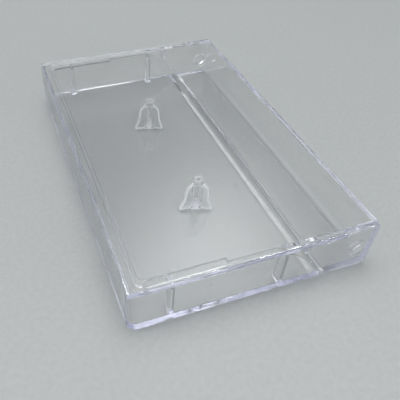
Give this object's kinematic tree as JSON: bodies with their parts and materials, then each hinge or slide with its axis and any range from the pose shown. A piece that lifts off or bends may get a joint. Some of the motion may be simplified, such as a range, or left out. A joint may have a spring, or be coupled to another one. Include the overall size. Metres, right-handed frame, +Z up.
{
  "type": "hinged clear storage case",
  "caption": "Shallow clear hinged case: a tray with upright hub posts and hinge arms, closed by a flat lid whose spine and narrow flap form a card pocket.",
  "frame": {"origin": "middle of the closed case's footprint, on the plane that it lies on", "axes": "+X towards the hinge and spine, +Y along the hinge axis, +Z up through the lid's front panel"},
  "size_m": [0.069, 0.1084, 0.0155],
  "materials": {
    "clear_tray": "clear polished polystyrene",
    "clear_lid": "clear polished polystyrene"
  },
  "bodies": {
    "tray": {"tray": "clear_tray"},
    "lid": {"lid": "clear_lid"}
  },
  "joints": [
    {"name": "lid_hinge", "type": "hinge", "parent": "tray", "child": "lid", "pos_m": [0.0304, 0, 0.0067], "axis": [0, 1, 0], "range_deg": [0, 105]}
  ]
}
